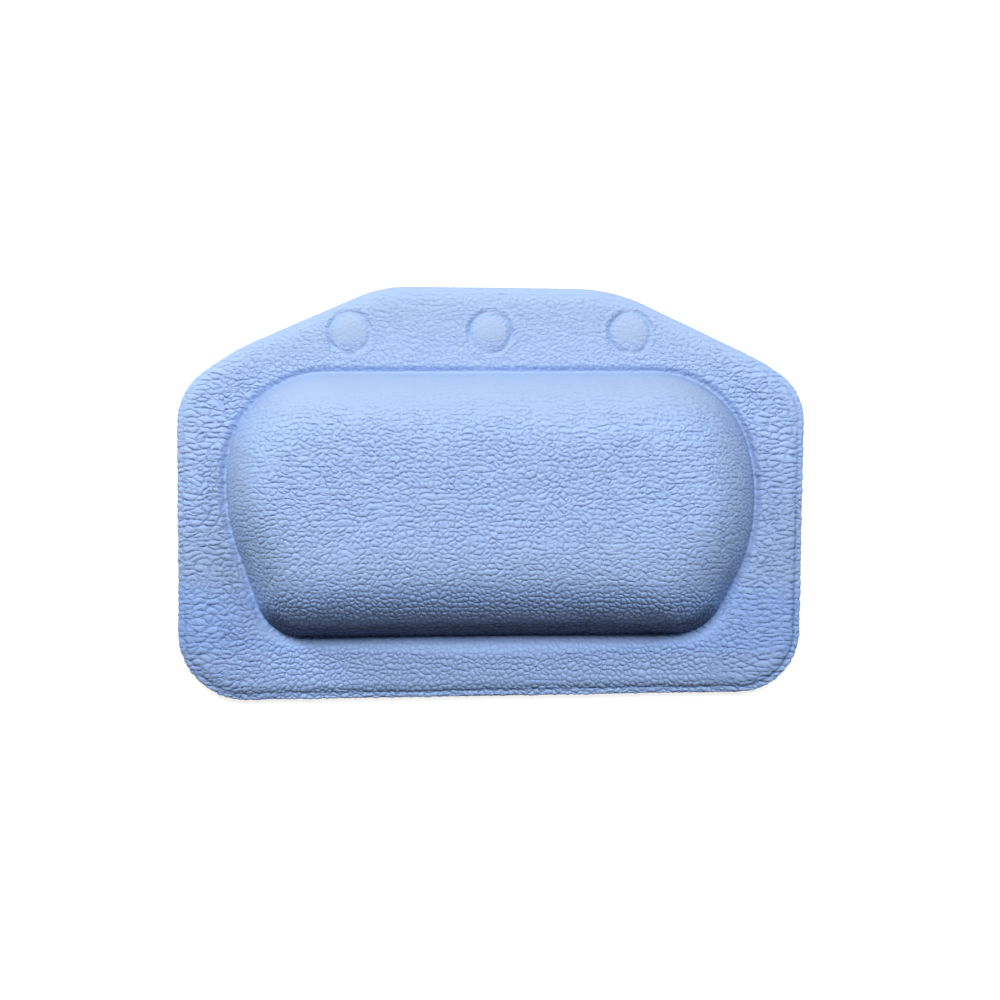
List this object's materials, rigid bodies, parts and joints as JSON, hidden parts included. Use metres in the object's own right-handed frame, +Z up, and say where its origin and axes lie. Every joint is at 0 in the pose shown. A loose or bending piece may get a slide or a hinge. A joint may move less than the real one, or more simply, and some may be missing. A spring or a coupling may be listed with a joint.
{
  "type": "bath pillow",
  "caption": "Leather-grained foam bath pillow: a domed cushion on a flat welded flange, held to the bath by suction cups behind weld rings in its upper edge.",
  "frame": {"origin": "centre of the bounding box's base, on the surface that the pillow lies on", "axes": "+X across the pillow, +Y up the pillow towards its suction cups, +Z up, out of the cushion's front"},
  "size_m": [0.3298, 0.2174, 0.0515],
  "materials": {
    "front_skin": "matte",
    "back_sheet": "matte",
    "foam": "matte",
    "disc": "satin",
    "cup": "gloss"
  },
  "bodies": {
    "pillow": {"front_skin": "front_skin", "back_sheet": "back_sheet", "foam_core": "foam", "retaining_disc_left": "disc", "retaining_disc_centre": "disc", "retaining_disc_right": "disc"},
    "left_cup": {"suction_cup_left": "cup"},
    "centre_cup": {"suction_cup_centre": "cup"},
    "right_cup": {"suction_cup_right": "cup"}
  },
  "joints": [
    {"name": "left_cup_swivel", "type": "hinge", "parent": "pillow", "child": "left_cup", "pos_m": [-0.07405, 0.08447, 0.0119], "axis": [0, -0.0616, 0.9981], "continuous": true},
    {"name": "centre_cup_swivel", "type": "hinge", "parent": "pillow", "child": "centre_cup", "pos_m": [-0.00026, 0.08447, 0.0119], "axis": [0, -0.0616, 0.9981], "continuous": true},
    {"name": "right_cup_swivel", "type": "hinge", "parent": "pillow", "child": "right_cup", "pos_m": [0.07354, 0.08447, 0.0119], "axis": [0, -0.0616, 0.9981], "continuous": true}
  ]
}
